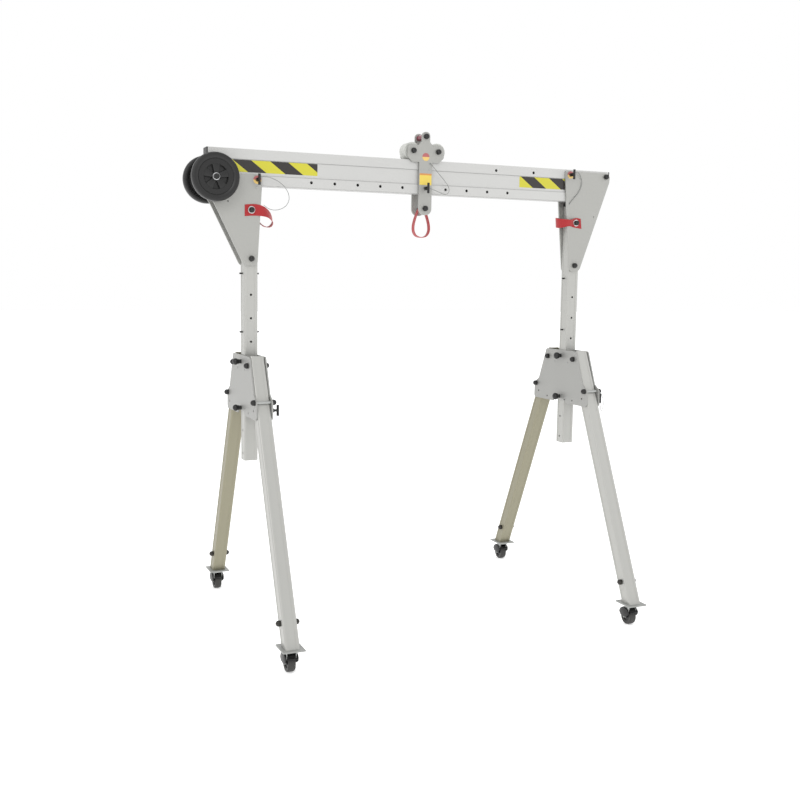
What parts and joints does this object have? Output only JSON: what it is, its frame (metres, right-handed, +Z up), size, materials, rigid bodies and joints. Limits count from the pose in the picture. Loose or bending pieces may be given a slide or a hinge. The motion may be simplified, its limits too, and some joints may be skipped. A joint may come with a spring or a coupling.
{
  "type": "portable gantry crane",
  "caption": "Folding aluminium gantry with a pinned trolley on a box beam and two height-adjustable end frames on swivel casters.",
  "frame": {"origin": "on the floor under the middle of the crane's overall box", "axes": "+X along the beam towards the frame without transport wheels, +Y across the beam towards the back, +Z up"},
  "size_m": [2.056, 1.3022, 2.195],
  "materials": {
    "beam_aluminium": "silver anodised extrusion",
    "plate_aluminium": "anodised satin plate",
    "post_aluminium": "anodised extrusion",
    "leg_aluminium": "anodised extrusion",
    "black_plastic": "moulded black nylon",
    "bolt_steel": "zinc plated",
    "pin_black": "black coated steel",
    "tyre_rubber": "black rubber",
    "caster_rubber": "dark grey rubber",
    "zinc_steel": "bright zinc plated",
    "red_webbing": "woven red polyester",
    "wire_rope": "plastic covered wire rope",
    "roller_nylon": "pale nylon",
    "spacer_paint": "dark red paint"
  },
  "bodies": {
    "beam": {"beam": "beam_aluminium", "beam_end_caps": "black_plastic"},
    "trolley": {"trolley_plates": "plate_aluminium", "trolley_bolts": "black_plastic", "trolley_top_tube": "spacer_paint", "trolley_lanyard": "wire_rope"},
    "trolley_roller_left": {"trolley_roller_left": "roller_nylon"},
    "trolley_roller_right": {"trolley_roller_right": "roller_nylon"},
    "trolley_pin": {"trolley_pin": "pin_black"},
    "sling": {"sling": "red_webbing"},
    "left_frame": {"left_gusset_plates": "plate_aluminium", "left_gusset_bolts": "black_plastic", "left_post": "post_aluminium", "left_post_fittings": "black_plastic", "left_strap": "red_webbing", "left_gusset_lanyard": "wire_rope"},
    "left_head": {"left_head_plates": "plate_aluminium", "left_head_blocks": "black_plastic", "left_head_bolts": "black_plastic"},
    "left_gusset_pin": {"left_gusset_pin": "pin_black"},
    "left_plunger_upper": {"left_plunger_upper": "black_plastic"},
    "left_plunger_lower": {"left_plunger_lower": "black_plastic"},
    "left_leg_front": {"left_leg_front": "leg_aluminium", "left_foot_front": "zinc_steel"},
    "left_caster_fork_front": {"left_caster_fork_front": "zinc_steel"},
    "left_caster_wheel_front": {"left_caster_wheel_front": "caster_rubber"},
    "left_leg_pin_front": {"left_leg_pin_front": "pin_black"},
    "left_leg_back": {"left_leg_back": "leg_aluminium", "left_foot_back": "zinc_steel"},
    "left_caster_fork_back": {"left_caster_fork_back": "zinc_steel"},
    "left_caster_wheel_back": {"left_caster_wheel_back": "caster_rubber"},
    "left_leg_pin_back": {"left_leg_pin_back": "pin_black"},
    "right_frame": {"right_gusset_plates": "plate_aluminium", "right_gusset_bolts": "black_plastic", "right_post": "post_aluminium", "right_post_fittings": "black_plastic", "right_strap": "red_webbing", "right_gusset_lanyard": "wire_rope"},
    "right_head": {"right_head_plates": "plate_aluminium", "right_head_blocks": "black_plastic", "right_head_bolts": "black_plastic", "right_leg_lanyard_front": "wire_rope", "right_leg_lanyard_back": "wire_rope"},
    "right_gusset_pin": {"right_gusset_pin": "pin_black"},
    "right_plunger_upper": {"right_plunger_upper": "black_plastic"},
    "right_plunger_lower": {"right_plunger_lower": "black_plastic"},
    "right_leg_front": {"right_leg_front": "leg_aluminium", "right_foot_front": "zinc_steel"},
    "right_caster_fork_front": {"right_caster_fork_front": "zinc_steel"},
    "right_caster_wheel_front": {"right_caster_wheel_front": "caster_rubber"},
    "right_leg_pin_front": {"right_leg_pin_front": "pin_black"},
    "right_leg_back": {"right_leg_back": "leg_aluminium", "right_foot_back": "zinc_steel"},
    "right_caster_fork_back": {"right_caster_fork_back": "zinc_steel"},
    "right_caster_wheel_back": {"right_caster_wheel_back": "caster_rubber"},
    "right_leg_pin_back": {"right_leg_pin_back": "pin_black"},
    "transport_wheel_front": {"transport_tyre_front": "tyre_rubber", "transport_hub_front": "black_plastic"},
    "transport_wheel_back": {"transport_tyre_back": "tyre_rubber", "transport_hub_back": "black_plastic"}
  },
  "joints": [
    {"name": "trolley_travel", "type": "slide", "parent": "beam", "child": "trolley", "axis": [1, 0, 0], "range_m": [-0.55, 0.55]},
    {"name": "left_roller_spin", "type": "hinge", "parent": "trolley", "child": "trolley_roller_left", "pos_m": [-0.023, 0, 2.10999], "axis": [0, 1, 0], "continuous": true},
    {"name": "right_roller_spin", "type": "hinge", "parent": "trolley", "child": "trolley_roller_right", "pos_m": [0.099, 0, 2.10999], "axis": [0, 1, 0], "continuous": true},
    {"name": "trolley_pin_pull", "type": "slide", "parent": "trolley", "child": "trolley_pin", "axis": [0, -1, 0], "range_m": [0, 0.08]},
    {"name": "sling_swing", "type": "hinge", "parent": "trolley", "child": "sling", "pos_m": [0.038, 0, 1.85699], "axis": [0, 1, 0], "range_deg": [-60, 60]},
    {"name": "left_frame_fold", "type": "hinge", "parent": "beam", "child": "left_frame", "pos_m": [-0.928, 0, 1.94599], "axis": [0, 1, 0], "range_deg": [0, 240]},
    {"name": "left_height", "type": "slide", "parent": "left_frame", "child": "left_head", "axis": [0, 0, -1], "range_m": [0, 0.2]},
    {"name": "left_gusset_pin_pull", "type": "slide", "parent": "left_frame", "child": "left_gusset_pin", "axis": [0, -1, 0], "range_m": [0, 0.08]},
    {"name": "left_plunger_upper_pull", "type": "slide", "parent": "left_head", "child": "left_plunger_upper", "axis": [-1, 0, 0], "range_m": [0, 0.012], "stiffness_N_per_m": 600, "springref_m": -0.01},
    {"name": "left_plunger_lower_pull", "type": "slide", "parent": "left_head", "child": "left_plunger_lower", "axis": [-1, 0, 0], "range_m": [0, 0.012], "stiffness_N_per_m": 600, "springref_m": -0.01},
    {"name": "left_leg_front_fold", "type": "hinge", "parent": "left_head", "child": "left_leg_front", "pos_m": [-0.765, -0.114, 1.16799], "axis": [-1, 0, 0], "range_deg": [-24.47, 0]},
    {"name": "left_leg_pin_front_pull", "type": "slide", "parent": "left_head", "child": "left_leg_pin_front", "axis": [1, 0, 0], "range_m": [0, 0.08]},
    {"name": "left_caster_swivel_front", "type": "hinge", "parent": "left_leg_front", "child": "left_caster_fork_front", "pos_m": [-0.765, -0.59858, 0.09], "axis": [0, 0, 1], "continuous": true},
    {"name": "left_caster_roll_front", "type": "hinge", "parent": "left_caster_fork_front", "child": "left_caster_wheel_front", "pos_m": [-0.765, -0.58358, 0.0375], "axis": [1, 0, 0], "continuous": true},
    {"name": "left_leg_back_fold", "type": "hinge", "parent": "left_head", "child": "left_leg_back", "pos_m": [-0.765, 0.114, 1.16799], "axis": [1, 0, 0], "range_deg": [-24.47, 0]},
    {"name": "left_leg_pin_back_pull", "type": "slide", "parent": "left_head", "child": "left_leg_pin_back", "axis": [1, 0, 0], "range_m": [0, 0.08]},
    {"name": "left_caster_swivel_back", "type": "hinge", "parent": "left_leg_back", "child": "left_caster_fork_back", "pos_m": [-0.765, 0.59858, 0.09], "axis": [0, 0, 1], "continuous": true},
    {"name": "left_caster_roll_back", "type": "hinge", "parent": "left_caster_fork_back", "child": "left_caster_wheel_back", "pos_m": [-0.765, 0.61358, 0.0375], "axis": [1, 0, 0], "continuous": true},
    {"name": "right_frame_fold", "type": "hinge", "parent": "beam", "child": "right_frame", "pos_m": [1.004, 0, 2.04599], "axis": [0, -1, 0], "range_deg": [0, 215]},
    {"name": "right_height", "type": "slide", "parent": "right_frame", "child": "right_head", "axis": [0, 0, -1], "range_m": [0, 0.2]},
    {"name": "right_gusset_pin_pull", "type": "slide", "parent": "right_frame", "child": "right_gusset_pin", "axis": [0, -1, 0], "range_m": [0, 0.08]},
    {"name": "right_plunger_upper_pull", "type": "slide", "parent": "right_head", "child": "right_plunger_upper", "axis": [-1, 0, 0], "range_m": [0, 0.012], "stiffness_N_per_m": 600, "springref_m": -0.01},
    {"name": "right_plunger_lower_pull", "type": "slide", "parent": "right_head", "child": "right_plunger_lower", "axis": [-1, 0, 0], "range_m": [0, 0.012], "stiffness_N_per_m": 600, "springref_m": -0.01},
    {"name": "right_leg_front_fold", "type": "hinge", "parent": "right_head", "child": "right_leg_front", "pos_m": [0.841, -0.114, 1.16799], "axis": [-1, 0, 0], "range_deg": [-24.47, 0]},
    {"name": "right_leg_pin_front_pull", "type": "slide", "parent": "right_head", "child": "right_leg_pin_front", "axis": [1, 0, 0], "range_m": [0, 0.08]},
    {"name": "right_caster_swivel_front", "type": "hinge", "parent": "right_leg_front", "child": "right_caster_fork_front", "pos_m": [0.841, -0.59858, 0.09], "axis": [0, 0, 1], "continuous": true},
    {"name": "right_caster_roll_front", "type": "hinge", "parent": "right_caster_fork_front", "child": "right_caster_wheel_front", "pos_m": [0.841, -0.58358, 0.0375], "axis": [1, 0, 0], "continuous": true},
    {"name": "right_leg_back_fold", "type": "hinge", "parent": "right_head", "child": "right_leg_back", "pos_m": [0.841, 0.114, 1.16799], "axis": [1, 0, 0], "range_deg": [-24.47, 0]},
    {"name": "right_leg_pin_back_pull", "type": "slide", "parent": "right_head", "child": "right_leg_pin_back", "axis": [1, 0, 0], "range_m": [0, 0.08]},
    {"name": "right_caster_swivel_back", "type": "hinge", "parent": "right_leg_back", "child": "right_caster_fork_back", "pos_m": [0.841, 0.59858, 0.09], "axis": [0, 0, 1], "continuous": true},
    {"name": "right_caster_roll_back", "type": "hinge", "parent": "right_caster_fork_back", "child": "right_caster_wheel_back", "pos_m": [0.841, 0.61358, 0.0375], "axis": [1, 0, 0], "continuous": true},
    {"name": "transport_wheel_front_spin", "type": "hinge", "parent": "left_frame", "child": "transport_wheel_front", "pos_m": [-0.928, -0.08, 1.94599], "axis": [0, 1, 0], "continuous": true},
    {"name": "transport_wheel_back_spin", "type": "hinge", "parent": "left_frame", "child": "transport_wheel_back", "pos_m": [-0.928, 0.08, 1.94599], "axis": [0, 1, 0], "continuous": true}
  ],
  "couplings": [
    {"joint": "left_roller_spin", "follows": "trolley_travel", "rad_per_m": 25.641},
    {"joint": "right_roller_spin", "follows": "trolley_travel", "rad_per_m": 25.641}
  ]
}
